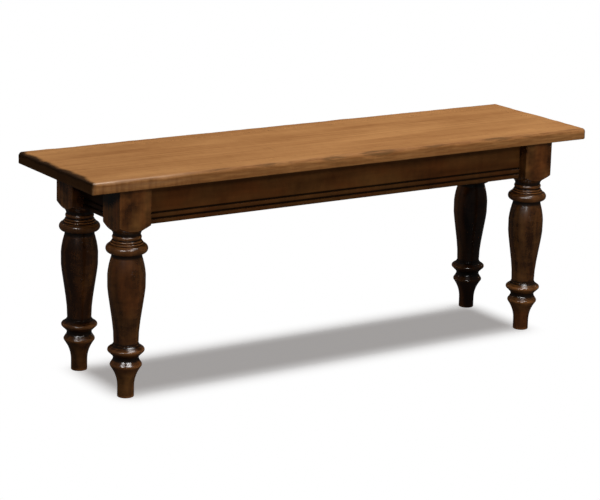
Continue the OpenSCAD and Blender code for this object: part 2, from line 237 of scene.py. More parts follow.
def eased(corners):
    """An outline from corners (x, y, rounding), sharp where the rounding is 0."""
    points = []
    for i, (x, y, radius) in enumerate(corners):
        corner = Vector((x, y))
        if radius == 0:
            points.append(corner)
            continue
        before = Vector(corners[i - 1][:2])
        after = Vector(corners[(i + 1) % len(corners)][:2])
        points += corner_arc(before, corner, after, radius)
    return points


def curve(first, corner, last):
    """Five points of a curve from first to last that the corner draws out."""
    shares = (0, 0.25, 0.5, 0.75, 1)
    return [first * (1 - t) ** 2 + corner * 2 * t * (1 - t) + last * t ** 2 for t in shares]


def bead(z, height, low_r, radius):
    """The side of a round bead that springs from radius low_r."""
    rise = radius - low_r
    round_r = (height ** 2 / 4 + rise ** 2) / (2 * rise)
    half = math.asin(height / 2 / round_r)
    return arc(Vector((radius - round_r, z + height / 2)), round_r, -half, half)


def full_bead(z, height, radius):
    """A bead that is close to a half circle."""
    return bead(z, height, radius - height / 2 + FULL_BEAD_SHY, radius)


def peak(radius, low, top):
    """Radius at which a bead's two slopes would meet without its round nose."""
    return radius + BEAD_NOSE * (math.cos((top - low) / 2) / math.cos((top + low) / 2) - 1)


def softened(points, reach):
    """The outline with its outward corners rounded and its hollow ones left crisp."""
    soft = [points[0]]
    for before, corner, after in zip(points, points[1:], points[2:]):
        u = before - corner
        v = after - corner
        if min(u.length, v.length) < 1e-7:
            continue
        outward = u.x * v.y - u.y * v.x > 0
        if outward and math.pi - u.angle(v) >= math.radians(22):
            first = corner + u * min(reach / u.length, 0.45)
            soft += curve(first, corner, corner + v * min(reach / v.length, 0.45))
        else:
            soft.append(corner)
    soft.append(points[-1])
    return soft


def dense(points, step):
    """The outline with no stretch longer than the step."""
    filled = [points[0]]
    for a, b in zip(points, points[1:]):
        parts = max(1, math.ceil((b - a).length / step))
        filled += [a.lerp(b, i / parts) for i in range(1, parts + 1)]
    return filled


def outline_bends(points, reach):
    """How an outline bends within reach of each point, from -1 in a crease to 1 on an edge."""
    lengths = [0.0]
    for a, b in zip(points, points[1:]):
        lengths.append(lengths[-1] + (b - a).length)

    def at(distance):
        """The place at this distance along the outline."""
        distance = min(max(distance, 0), lengths[-1])
        i = max(1, bisect.bisect_left(lengths, distance))
        share = (distance - lengths[i - 1]) / max(lengths[i] - lengths[i - 1], 1e-9)
        return points[i - 1].lerp(points[i], share)

    bends = []
    for middle, distance in zip(points, lengths):
        u = at(distance + reach) - middle
        v = middle - at(distance - reach)
        turn = 0.0
        if min(u.length, v.length) >= 1e-7:
            turn = math.atan2(v.x * u.y - v.y * u.x, v.dot(u))
        bends.append(max(-1.0, min(1.0, turn / FULL_BEND)))
    return bends


def vase_side(foot_z, top_z):
    """The long swelling side of a leg's vase."""
    height = top_z - foot_z
    corners = [Vector((VASE_LOW_R, foot_z))]
    corners += [Vector((radius, foot_z + share * height)) for radius, share, reach in VASE_CORNERS]
    corners.append(Vector((VASE_TOP_R, top_z)))
    rounds = [0]
    for i, (radius, share, reach) in enumerate(VASE_CORNERS, 1):
        half = (corners[i - 1] - corners[i]).angle(corners[i + 1] - corners[i]) / 2
        rounds.append(reach * height * math.tan(half))
    rounds.append(0)
    return eased([(*corner, rounding) for corner, rounding in zip(corners, rounds)])


def turned_outline():
    """A leg's outline from the floor to the neck, as radius and height, and the neck's height."""
    large = peak(LARGE_BEAD_R, LARGE_LOW_LEAN, LARGE_TOP_LEAN)
    low = peak(LOW_BEAD_R, LOW_LOW_LEAN, LOW_TOP_LEAN)
    rise_low = math.tan(LOW_TOP_LEAN)
    rise_large = math.tan(LARGE_LOW_LEAN)
    hollow_z = (low - large + rise_low * LOW_BEAD_Z + rise_large * LARGE_BEAD_Z) / (rise_low + rise_large)
    hollow_r = low - rise_low * (hollow_z - LOW_BEAD_Z)
    flare_z = LOW_BEAD_Z - (low - FOOT_R) / math.tan(LOW_LOW_LEAN)
    step_z = LARGE_BEAD_Z + (large - STEP_R) / math.tan(LARGE_TOP_LEAN)
    vase_z = step_z + STEP_H
    neck_z = LEG_H - BLOCK_H - (BLOCK_W / math.sqrt(2) - NECK_R) / math.tan(SHOULDER_LEAN)
    small_z = neck_z - NECK_H - SMALL_BEAD_H
    second_z = small_z - BEAD_GAP - SECOND_BEAD_H
    third_z = second_z - THIRD_BEAD_H
    collar_z = third_z - COLLAR_H
    foot = eased([
        (0, 0, 0),
        (FOOT_R, 0, FOOT_EDGE),
        (FOOT_R, flare_z, FOOT_FLARE),
        (low, LOW_BEAD_Z, BEAD_NOSE),
        (hollow_r, hollow_z, HOLLOW_ROUND),
        (large, LARGE_BEAD_Z, BEAD_NOSE),
        (STEP_R, step_z, 0),
        (STEP_R, vase_z, 0),
    ])
    neck_low = NECK_R - NECK_STEP
    rings = [Vector((VASE_TOP_R, collar_z - PAST)), Vector((COLLAR_R - COLLAR_H / 2, collar_z))]
    rings += full_bead(collar_z, COLLAR_H, COLLAR_R)[1:]
    rings += full_bead(third_z, THIRD_BEAD_H, THIRD_BEAD_R)
    rings += full_bead(second_z, SECOND_BEAD_H, SECOND_BEAD_R)
    rings += [Vector((neck_low, second_z + SECOND_BEAD_H))]
    rings += bead(small_z, SMALL_BEAD_H, neck_low, SMALL_BEAD_R)
    rings += [Vector((NECK_R, small_z + SMALL_BEAD_H))]
    outline = foot + vase_side(vase_z, collar_z - HOLLOW_H) + rings
    return dense(softened(outline, TURNED_EASE), LEG_STEP), neck_z


def shoulder_outline(neck_z):
    """The neck and the start of the cone that cuts the block's corners."""
    return eased([
        (NECK_R, neck_z - NECK_H, 0),
        (NECK_R, neck_z, NECK_COVE),
        (BLOCK_W, neck_z + (BLOCK_W - NECK_R) / math.tan(SHOULDER_LEAN), 0),
    ])[1:-1]


def square_reach(angle):
    """Distance from the leg's axis to the side of its block, past its rounded edges."""
    half = BLOCK_W / 2
    turn = abs((angle + math.pi / 4) % (math.pi / 2) - math.pi / 4)
    if half * math.tan(turn) <= half - BLOCK_EDGE:
        return half / math.cos(turn)
    diagonal = math.pi / 4 - turn
    centre = (half - BLOCK_EDGE) * math.sqrt(2)
    return centre * math.cos(diagonal) + math.sqrt(BLOCK_EDGE ** 2 - (centre * math.sin(diagonal)) ** 2)


def round_angles():
    """Angles round a leg, with close steps over the block's upright edges."""
    even = [2 * math.pi * i / ROUND_STEPS for i in range(ROUND_STEPS)]
    near = [math.radians(d) for d in EDGE_TURNS]
    edges = [math.pi / 4 + math.pi / 2 * i for i in range(4)]
    kept = [a for a in even if min(abs(a - edge) for edge in edges) > math.radians(EDGE_CLEAR)]
    return sorted(kept + [edge + d for edge in edges for d in near])


# Meshes

def in_scene(name, data):
    """A new object in the scene."""
    made = bpy.data.objects.new(name, data)
    bpy.context.scene.collection.objects.link(made)
    return made


def new_object(name, bm):
    """A smooth-shaded object from a bmesh, with its sharp edges marked."""
    bmesh.ops.remove_doubles(bm, verts=bm.verts, dist=1e-6)
    bmesh.ops.recalc_face_normals(bm, faces=bm.faces)
    for face in bm.faces:
        face.smooth = True
    for edge in bm.edges:
        edge.smooth = len(edge.link_faces) == 2 and edge.calc_face_angle(0) < SHARP
    mesh = bpy.data.meshes.new(name)
    bm.to_mesh(mesh)
    bm.free()
    return in_scene(name, mesh)


def skin(rows, *names):
    """A closed mesh through rings of points, each a place and a value for each named layer."""
    bm = bmesh.new()
    layers = [bm.verts.layers.float.new(name) for name in names]
    made = []
    for row in rows:
        made.append([])
        for place, *values in row:
            vert = bm.verts.new(place)
            for layer, value in zip(layers, values):
                vert[layer] = value
            made[-1].append(vert)
    for low, high in zip(made, made[1:]):
        for i in range(len(low)):
            j = (i + 1) % len(low)
            bm.faces.new((low[i], low[j], high[j], high[i]))
    bm.faces.new(made[0])
    bm.faces.new(made[-1])
    bmesh.ops.recalc_face_normals(bm, faces=bm.faces)
    return bm


def around(point, angle):
    """A point of a turned outline, at an angle round its axis."""
    return Vector((point[0] * math.cos(angle), point[0] * math.sin(angle), point[1]))


def rotation(degrees, axis):
    """A turn about an axis."""
    return Matrix.Rotation(math.radians(degrees), 4, axis)


def box_mesh(lo, hi, turn=Matrix()):
    """A box between two corners, then turned."""
    bm = bmesh.new()
    bmesh.ops.create_cube(bm, size=1)
    size = Matrix.Diagonal((*(Vector(hi) - Vector(lo)), 1))
    middle = Matrix.Translation((Vector(hi) + Vector(lo)) / 2)
    bmesh.ops.transform(bm, matrix=turn @ middle @ size, verts=bm.verts)
    return bm


def drill_mesh(radius, sink, depth, place):
    """A screw's hole that points down -Z: a sink for its head, a cone and a shank."""
    cone = radius - SCREW_R + HEAD_RIM
    outline = ((radius, sink), (radius, -HEAD_RIM), (SCREW_R, -cone), (SCREW_R, -depth))
    angles = [2 * math.pi * i / DRILL_STEPS for i in range(DRILL_STEPS)]
    return skin([[(place @ around(point, a),) for a in angles] for point in outline])


def combined(piece, tools, operation="DIFFERENCE"):
    """The piece with the tool meshes cut from it, or joined to it."""
    for tool in tools:
        cutter = new_object("cutter", tool)
        modifier = piece.modifiers.new("cut", "BOOLEAN")
        modifier.operation = operation
        modifier.solver = "EXACT"
        modifier.object = cutter
        shaped = bpy.data.meshes.new_from_object(
            piece.evaluated_get(bpy.context.evaluated_depsgraph_get()))
        piece.modifiers.clear()
        old = piece.data
        piece.data = shaped
        bpy.data.meshes.remove(old)
        bpy.data.objects.remove(cutter)
    return piece


def moulded(model, places):
    """Copies of a model, one for each name and its place. The model is removed."""
    copies = []
    for name, place in places.items():
        bm = bmesh.new()
        bm.from_mesh(model.data)
        bmesh.ops.transform(bm, matrix=place, verts=bm.verts)
        copies.append(new_object(name, bm))
    bpy.data.objects.remove(model)
    return copies


def corner_place(side, end):
    """Takes a model whose inner sides face +X and +Y to corner (side, end)."""
    return Matrix.Translation((side * LEG_X, end * LEG_Y, 0)) @ Matrix.Diagonal((-side, -end, 1, 1))


def side_place(turn, along, out):
    """Moves a model along the bench and out to the front, then turns it about the middle."""
    return rotation(turn, "Z") @ Matrix.Translation((along, -out, 0))


def bevelled(bm):
    """The mesh with its sharp edges eased."""
    edges = [e for e in bm.edges if len(e.link_faces) == 2 and e.calc_face_angle(0) > BEVEL_FROM]
    bmesh.ops.bevel(bm, geom=edges, offset=EASE, segments=2, profile=0.5, affect="EDGES")
    return bm


# The seat

def bump(distance, half):
    """A smooth rise from 0 at the half length to 1 in the middle."""
    share = min(abs(distance) / half, 1)
    return (1 - share ** 2) ** 2


def edge_wear_and_highlight(x, y):
    """Wear at a place on the seat's edge: reach in and down, a scoop's depth, and paleness, partly rubbed
    and partly a painted highlight.
    """
    place = Vector((x, y, 0))
    slow, wave, quick = (noise.noise(place / length + shift) for length, shift in WEAR_WAVES)
    reach_in = TOP_ROUND * (1.15 + 0.35 * slow + 0.40 * wave + 0.18 * quick)
    reach_down = TOP_ROUND * (0.95 + 0.30 * slow + 0.45 * wave + 0.22 * quick)
    if x < seat_lo.x + min(CORNER_ROUNDS):
        bite = max(0, noise.noise(Vector((0, y / BITE_L, 2.2))))
        reach_in += BITE_IN * bite
        reach_down += BITE_DOWN * bite
    front = y < seat_lo.y + min(CORNER_ROUNDS)
    scoop = sum(depth * bump(x - middle, half) for middle, half, depth in SCOOPS) if front else 0
    pale_and_highlight = bump(x - RUB_AND_HIGHLIGHT[0], RUB_AND_HIGHLIGHT[1]) if front else 0
    return min(reach_in + 1.6 * scoop, MOST_IN), min(reach_down + 1.5 * scoop, MOST_DOWN), scoop, pale_and_highlight


def seat_edge():
    """Places round the seat's edge, each with its outward direction."""
    left, front, right, rear = seat_lo.x, seat_lo.y, seat_hi.x, seat_hi.y
    corners = ((left, front), (right, front), (right, rear), (left, rear))
    outline = eased([(*corner, radius) for corner, radius in zip(corners, CORNER_ROUNDS)])
    outline = dense(outline + outline[:1], EDGE_STEP)[:-1]
    places = []
    for i, p in enumerate(outline):
        along = outline[(i + 1) % len(outline)] - outline[i - 1]
        places.append((p, Vector((along.y, -along.x)).normalized()))
    return places


def inside_by(place, outward, inset):
    """A place on the seat's outline moved in, past its rounded corners too."""
    near = min(CORNER_ROUNDS)
    at = place - outward * min(inset, near)
    if inset <= near:
        return at
    return Vector((
        min(max(at.x, seat_lo.x + inset), seat_hi.x - inset),
        min(max(at.y, seat_lo.y + inset), seat_hi.y - inset),
    ))


def edge_profile(reach_in, reach_down, dip):
    """The seat's edge from under it to its top, as inset, height and wear, which also places the painted
    highlight.
    """
    points = [(INNER_RING, seat_lo.z, 0), (LOW_ROUND * 2, seat_lo.z, 0)]
    for a in (math.radians(30 * i) for i in range(4)):
        points.append((LOW_ROUND * (1 - math.sin(a)), seat_lo.z + LOW_ROUND * (1 - math.cos(a)), 0))
    low = seat_lo.z + LOW_ROUND
    side = seat_hi.z - reach_down
    points += [(0, low + (side - low) * i / 3, 0.15 * i) for i in (1, 2)]
    for a in (math.radians(9 * i) for i in range(10)):
        points.append((reach_in * (1 - math.cos(a)), side + reach_down * math.sin(a), math.sin(2 * a)))
    return points + [
        (reach_in, seat_hi.z - dip, 0),
        (reach_in + 0.006, seat_hi.z - 0.5 * dip, 0.1),
        (reach_in + 0.014, seat_hi.z - 0.12 * dip, 0),
        (INNER_RING, seat_hi.z, 0),
    ]


def seat_column(place, outward):
    """One cut through the seat's edge, from under it up: points with wear, paleness with a painted
    highlight, and scoop.
    """
    reach_in, reach_down, scoop, pale_and_highlight = edge_wear_and_highlight(*place)
    # Painted highlight: a bright line along the top edge and down the corner, near the front left corner.
    glint = bump((place - seat_lo.xy).length, GLINT_REACH) if outward.y < -0.1 else 0
    corner = 2 * abs(outward.x * outward.y)
    column = []
    for inset, z, wear_and_light in edge_profile(reach_in, reach_down, 0.25 * scoop):
        at = inside_by(place, outward, inset)
        rough = noise.noise(Vector((at.x / 0.030, at.y / 0.030, z / 0.007)))
        fine = noise.noise(Vector((at.x / 0.009, at.y / 0.009, z / 0.004)))
        sunk = max(0, 0.45 + rough + 0.35 * fine) * DENT * min(1, wear_and_light * 1.6)
        tilt = math.pi / 2 * min(1, inset / reach_in)
        spot = Vector((at.x, at.y, z)) - sunk * Vector((*(outward * math.cos(tilt)), math.sin(tilt)))
        bright = glint * max(1.2 * wear_and_light ** 6, 0.4 * corner)
        column.append((spot, wear_and_light, pale_and_highlight * wear_and_light + bright, min(1, scoop / DEEP_SCOOP) * wear_and_light))
    return column


def board_from(slab, name, low, high):
    """The board between two heights of Y, cut from a copy of the slab."""
    bm = slab.copy()
    for y, side in ((low, -1), (high, 1)):
        if y is None:
            continue
        everything = bm.verts[:] + bm.edges[:] + bm.faces[:]
        cut = bmesh.ops.bisect_plane(
            bm, geom=everything, dist=1e-7, plane_co=(0, y, 0), plane_no=(0, side, 0), clear_outer=True)
        rim = [e for e in cut["geom_cut"] if isinstance(e, bmesh.types.BMEdge)]
        bmesh.ops.contextual_create(bm, geom=rim)
    return new_object(name, bm)


# The legs

def leg_mesh():
    """One leg at the origin, whose inner sides face +X and +Y, with its wear, its painted shade in creases
    and its painted highlight on edges.
    """
    outline, neck_z = turned_outline()
    turned = outline[1:] + shoulder_outline(neck_z)
    bends = zip(outline_bends(turned, FINE_BEND), outline_bends(turned, WIDE_BEND))
    angles = round_angles()
    rows = [[(around(point, a), LEG_WEAR_AND_LIGHT * (fine + wide)) for a in angles]
            for point, (fine, wide) in zip(turned, bends)]
    columns = [block_column(turned[-1], a) for a in angles]
    return skin(rows + list(zip(*columns)), "wear_and_light")


def block_column(start, angle):
    """The cone and the block's side above one angle: points up to the top, with wear and a painted
    highlight on the cone's edge.
    """
    reach = square_reach(angle)
    slope = Vector((math.sin(SHOULDER_LEAN), math.cos(SHOULDER_LEAN)))
    crossing = start + slope * ((reach - start.x) / slope.x)
    before = crossing - slope * SHOULDER_ROUND
    after = crossing + Vector((0, SHOULDER_ROUND))
    top = Vector((reach, LEG_H))
    outline = [(start.lerp(before, share), 0) for share in (0.35, 0.7)]
    # The edge where the cone cuts the block, lighter: rubbed, with a painted highlight.
    outline += [(point, 0.4) for point in curve(before, crossing, after)]
    outline += [(after.lerp(top, share), 0) for share in (0.06, 0.3, 0.55, 0.8, 1)]
    return [(around(point, angle), wear_and_light) for point, wear_and_light in outline]


def leg_cuts():
    """Cutters for a leg's two mortises and for the flat where its corner block bears."""
    low = APRON_Z + TENON_LOW - JOINT_GAP
    high = APRON_Z + APRON_H - TENON_HIGH + JOINT_GAP
    deep = BLOCK_W / 2 - TENON_L - END_GAP
    wide = TENON_T / 2 + JOINT_GAP
    flat_z = LEG_H - CORNER_DROP - CORNER_H - JOINT_GAP
    flat = box_mesh(
        (FLAT_REACH, -BLOCK_W / 2, flat_z), (BLOCK_W, BLOCK_W / 2, LEG_H + PAST), rotation(45, "Z"))
    return [
        box_mesh((deep, -wide, low), (BLOCK_W, wide, high)),
        box_mesh((-wide, deep, low), (wide, BLOCK_W, high)),
        flat,
    ]


# The aprons and what holds the seat

def apron_outline():
    """The section of an apron that faces -Y, as Y and Z, from its lower outer edge up."""
    face = -APRON_T / 2
    pitch = BEAD_H + GROOVE_W
    points = []
    for z in (APRON_Z, APRON_Z + pitch):
        side = bead(z, BEAD_H, -face - BEAD_FALL, -face)
        points += [Vector((-p.x, p.y)) for p in side]
        points.append(Vector((face + GROOVE_D, z + BEAD_H + GROOVE_W / 2)))
    return points + [
        Vector((face, APRON_Z + 2 * pitch)),
        Vector((face, APRON_Z + APRON_H)),
        Vector((-face, APRON_Z + APRON_H)),
        Vector((-face, APRON_Z)),
    ]


def groove_shade(point):
    """The most wear at a point of an apron's section: below 0 over its beads, where the stain is darker,
    and lowest in its grooves, where stain gathers and shade is painted.
    """
    pitch = BEAD_H + GROOVE_W
    above = point.y - APRON_Z
    if point.x > 0 or above > 2 * pitch + GROOVE_W / 2:
        return 1
    near = min(abs(above - i * pitch + GROOVE_W / 2) for i in (1, 2)) / GROOVE_W
    return min(-0.12, near - 0.95)


def slot_cut(x, width, deep, low, high):
    """A cutter for a slot in an apron's inner face, with clearances."""
    half = width / 2 + JOINT_GAP
    inner = APRON_T / 2 - deep - END_GAP
    return box_mesh((x - half, inner, low - JOINT_GAP), (x + half, APRON_T / 2 + PAST, high + JOINT_GAP))


def apron_model(span, buttons, with_rail):
    """An apron along X that faces -Y, at the origin, with its tenons and its slots."""
    outline = dense(apron_outline(), APRON_STEP)
    # Wear with painted light: darker over the beads, and darkest in the grooves, where stain gathers and
    # shade is painted.
    wear_and_light = [min(-bend, groove_shade(p)) for p, bend in zip(outline, outline_bends(outline, FINE_BEND))]
    places = [span * (i / APRON_LENGTHS - 0.5) for i in range(APRON_LENGTHS + 1)]
    solid = skin([[((x, *p), w) for p, w in zip(outline, wear_and_light)] for x in places], "wear_and_light")
    low = APRON_Z + TENON_LOW
    high = APRON_Z + APRON_H - TENON_HIGH
    tenons = [box_mesh((x - TENON_L, -TENON_T / 2, low), (x + TENON_L, TENON_T / 2, high))
              for x in (-span / 2, span / 2)]
    slots = [slot_cut(x, button_hi.x - button_lo.x, TONGUE_L, button_lo.z, button_lo.z + TONGUE_H)
             for x in buttons]
    if with_rail:
        slots.append(slot_cut(
            0, RAIL_TENON_T, RAIL_TENON_L, rail_lo.z + RAIL_SHOULDER, rail_hi.z - RAIL_SHOULDER))
    model = combined(new_object("apron_model", solid), [bevelled(tenon) for tenon in tenons], "UNION")
    return combined(model, slots)


def corner_block_model():
    """A corner block for inner sides that face +X and +Y, measured from the leg's axis."""
    edge = math.sqrt(2) * (FLAT_REACH + CORNER_T)
    inner = math.sqrt(2) * FLAT_REACH
    side = APRON_T / 2
    low = LEG_H - CORNER_DROP - CORNER_H
    high = low + CORNER_H
    corners = ((side, inner - side), (inner - side, side), (edge - side, side), (side, edge - side))
    solid = skin([[((*corner, z),) for corner in corners] for z in (low, high)])
    far = edge - side - CORNER_SCREW_IN
    near = edge - far - HEAD_R
    drills = []
    for z in (low + CORNER_SCREW_DROP, high - CORNER_SCREW_DROP):
        for place in (
            Matrix.Translation((far, near, z)) @ rotation(-90, "X"),
            Matrix.Translation((near, far, z)) @ rotation(90, "Y"),
        ):
            drills.append(drill_mesh(HEAD_R, CORNER_T, near, place))
    face = Matrix.Translation((FLAT_REACH + CORNER_T - LEG_HEAD_R / 2, 0, (low + high) / 2))
    middle = rotation(45, "Z") @ face @ rotation(90, "Y")
    drills.append(drill_mesh(LEG_HEAD_R, CORNER_T, CORNER_T, middle))
    return combined(new_object("corner_block_model", bevelled(solid)), drills)


def button_model():
    """A button at the middle, with its tongue towards -Y and its shoulder at Y = 0."""
    half = (button_hi.x - button_lo.x) / 2
    length = button_hi.y - button_lo.y - TONGUE_L
    height = button_hi.z - button_lo.z
    outline = (
        (-TONGUE_L, 0),
        (length - BUTTON_CUT, 0),
        (length, BUTTON_CUT),
        (length, height),
        (0, height),
        (0, TONGUE_H),
        (-TONGUE_L, TONGUE_H),
    )
    solid = skin([[((x, y, button_lo.z + z),) for y, z in outline] for x in (-half, half)])
    place = Matrix.Translation((0, BUTTON_SCREW_Y, button_lo.z)) @ rotation(180, "X")
    drill = drill_mesh(HEAD_R, PAST, height + PAST, place)
    return combined(new_object("button_model", bevelled(solid)), [drill])


def rail_model():
    """The cross rail with its two tenons and the deep holes of its screws."""
    inner = rail_hi.y - RAIL_TENON_L
    rail = box_mesh((rail_lo.x, -inner, rail_lo.z), (rail_hi.x, inner, rail_hi.z))
    tenon = box_mesh(
        (-RAIL_TENON_T / 2, rail_lo.y, rail_lo.z + RAIL_SHOULDER),
        (RAIL_TENON_T / 2, rail_hi.y, rail_hi.z - RAIL_SHOULDER))
    model = combined(new_object("rail_model", bevelled(rail)), [bevelled(tenon)], "UNION")
    drills = []
    for y in (-RAIL_SCREW_Y, 0, RAIL_SCREW_Y):
        place = Matrix.Translation((0, y, button_lo.z)) @ rotation(180, "X")
        drills.append(drill_mesh(HEAD_R, rail_hi.z - rail_lo.z, rail_hi.z - button_lo.z + PAST, place))
    return combined(model, drills)


# Materials

class Graph:
    """The node tree of a material or a world, with short calls for its nodes."""

    def __init__(self, owner):
        owner.use_nodes = True
        self.owner = owner
        self.tree = owner.node_tree

    def feed(self, socket, value):
        """Links an output to a socket, or sets its value."""
        if isinstance(value, bpy.types.NodeSocket):
            self.tree.links.new(value, socket)
        else:
            socket.default_value = value

    def add(self, kind, inputs=None, **settings):
        """The outputs of a new node with these settings and inputs, by name or number."""
        node = self.tree.nodes.new(f"ShaderNode{kind}")
        for key, value in settings.items():
            setattr(node, key, value)
        for key, value in (inputs or {}).items():
            self.feed(node.inputs[key], value)
        return node.outputs

    def math(self, operation, a, b=0.0):
        """A sum on one or two numbers."""
        return self.add("Math", {0: a, 1: b}, operation=operation)[0]

    def plus(self, a, b):
        """One number added to another."""
        return self.math("ADD", a, b)

    def minus(self, a, b):
        """One number less another."""
        return self.math("SUBTRACT", a, b)

    def times(self, a, b):
        """One number times another."""
        return self.math("MULTIPLY", a, b)

    def place(self):
        """A point's place in the bench's frame."""
        return self.add("TexCoord")["Object"]

    def split(self, vector):
        """The three numbers of a vector."""
        return self.add("SeparateXYZ", {0: vector})

    def cells(self, vector, along, across, detail=2.0, roughness=0.5, distortion=0.0):
        """Noise with this many cells a metre along and across the grain."""
        scaled = self.add("Mapping", {"Vector": vector, "Scale": (along, across, across)})
        inputs = {"Vector": scaled[0], "Scale": 1.0, "Detail": detail, "Roughness": roughness,
                  "Distortion": distortion}
        return self.add("TexNoise", inputs)["Fac"]

    def spread(self, value, low, high, to_low=0.0, to_high=1.0, **settings):
        """A number moved from one range to another, and held there."""
        inputs = {"Value": value, "From Min": low, "From Max": high, "To Min": to_low, "To Max": to_high}
        return self.add("MapRange", inputs, clamp=True, **settings)["Result"]

    def summed(self, tone, patterns):
        """A tone with patterns added, each by what it is over a half, times its weight."""
        for pattern, weight in patterns:
            tone = self.plus(tone, self.times(self.minus(pattern, 0.5), weight))
        return tone

    def mix(self, share, a, b):
        """Two colours mixed."""
        return self.add("Mix", {"Factor": share, 6: a, 7: b}, data_type="RGBA")[2]

    def laid(self, body, mask, strength, colour):
        """A body colour with another laid over it, at this strength where the mask is 1."""
        return self.mix(self.times(mask, strength), body, colour)

    def attribute(self, name):
        """A number stored on the mesh's points."""
        return self.add("Attribute", attribute_name=name)["Fac"]

    def relief(self, height, distance):
        """Raises the grain."""
        raised = self.add("Bump", {"Height": height, "Strength": 0.6, "Distance": distance})
        self.feed(self.tree.nodes["Principled BSDF"].inputs["Normal"], raised[0])

    def finish(self, body, roughness, level=0.5, metal=0.0):
        """Feeds the shader its colour and gloss, and gives the finished material."""
        shader = self.tree.nodes["Principled BSDF"].inputs
        self.feed(shader["Base Color"], body)
        self.feed(shader["Roughness"], roughness)
        shader["Specular IOR Level"].default_value = level
        shader["Metallic"].default_value = metal
        return self.owner

    def ray_share(self, shares):
        """The given share for each kind of ray named, and 0 for the others."""
        rays = self.add("LightPath")
        total = 0.0
        for name, share in shares.items():
            sum_inputs = {0: rays[name], 1: share, 2: total}
            total = self.add("Math", sum_inputs, operation="MULTIPLY_ADD")[0]
        return total


def new_graph(name):
    """The graph of a new material."""
    return Graph(bpy.data.materials.new(name))


GRAIN_ORDER = {"X": (0, 1, 2), "Y": (1, 0, 2), "Z": (2, 0, 1)}
# How far the tree's heart lay behind the axis of each leg.
PITH_DEPTHS = (0.090, 0.105, 0.080, 0.115)
# The tone under which the stain is near black, for each leg. The rear left leg's higher value is painted
# shade as well as darker stain.
LEG_STAIN_AND_SHADE = (-0.09, -0.05, 0.02, -0.08)


def grain_space(graph, axis, shift):
    """Coordinates with the grain along their first axis, moved so that each piece differs."""
    parts = graph.split(graph.place())
    joined = graph.add("CombineXYZ", {i: parts[n] for i, n in enumerate(GRAIN_ORDER[axis])})
    return graph.add("Mapping", {"Vector": joined[0], "Location": shift})[0]


def ring_tone(graph, grain, pith, spacing, wander):
    """Growth rings round a pith line, from 0 in early wood to 1 in late wood."""
    drift = graph.cells(grain, 1.7, 7.0)
    parts = graph.split(grain)
    shift = graph.times(graph.minus(drift, 0.5), wander)
    across = graph.minus(graph.plus(parts[1], shift), pith[0])
    up = graph.minus(parts[2], pith[1])
    squares = graph.plus(graph.times(across, across), graph.times(up, up))
    rings = graph.times(graph.math("SQRT", squares), 1 / spacing)
    return graph.math("POWER", graph.math("PINGPONG", graph.math("FRACT", rings), 0.5), 0.7)


def maple_seat(name, shift, pith):
    """Light brown stained maple: soft long streaks, faint rings, rubbed and darkened edges, with a painted
    highlight and painted shade along them.
    """
    graph = new_graph(name)
    grain = grain_space(graph, "X", shift)
    rings = ring_tone(graph, grain, pith, 0.011, 0.050)
    bands = graph.cells(grain, 1.6, 22.0, detail=3.0, distortion=0.4)
    streaks = graph.cells(grain, 5.0, 120.0, detail=4.0, roughness=0.6)
    fibres = graph.cells(grain, 24.0, 900.0, detail=3.0, roughness=0.6)
    clouds = graph.cells(grain, 4.0, 11.0)
    curl = graph.cells(grain, 70.0, 34.0, detail=3.0, roughness=0.6, distortion=0.5)
    flecks = graph.cells(grain, 90.0, 1500.0, detail=1.0)
    tone = graph.summed(graph.times(rings, 0.20), (
        (bands, 0.60), (streaks, 0.60), (fibres, 0.34), (clouds, 0.45), (curl, 0.26)))
    body = graph.mix(graph.spread(tone, -0.20, 0.30), (0.310, 0.126, 0.038, 1), (0.480, 0.229, 0.080, 1))
    body = graph.laid(body, graph.spread(flecks, 0.66, 0.76), 0.35, (0.120, 0.052, 0.020, 1))
    body = graph.mix(hairline(graph, MARK_FROM, MARK_TO), body, (0.130, 0.055, 0.020, 1))
    body = seat_edge_colour(graph, body, streaks)
    dull = graph.minus(graph.attribute("wear_and_light"), graph.attribute("pale_and_highlight"))
    roughness = graph.plus(graph.spread(clouds, 0.3, 0.7, 0.38, 0.48), graph.times(dull, 0.35))
    graph.relief(graph.plus(graph.times(fibres, 0.6), streaks), 0.00018)
    return graph.finish(body, roughness, level=0.16)


def hairline(graph, start, end):
    """A number that is high on a fine line between two places on the seat."""
    spot = graph.split(graph.place())
    lean = (end.x - start.x) / (end.y - start.y)
    middle = (start + end) / 2
    along = graph.minus(spot[1], middle.y)
    across = graph.minus(graph.minus(spot[0], middle.x), graph.times(along, lean))
    near = graph.spread(graph.math("ABSOLUTE", across), MARK_W / 2, 0.0)
    half = abs(end.y - start.y) / 2
    return graph.times(near, graph.spread(graph.math("ABSOLUTE", along), half, half * 0.5, 0.0, 0.75))


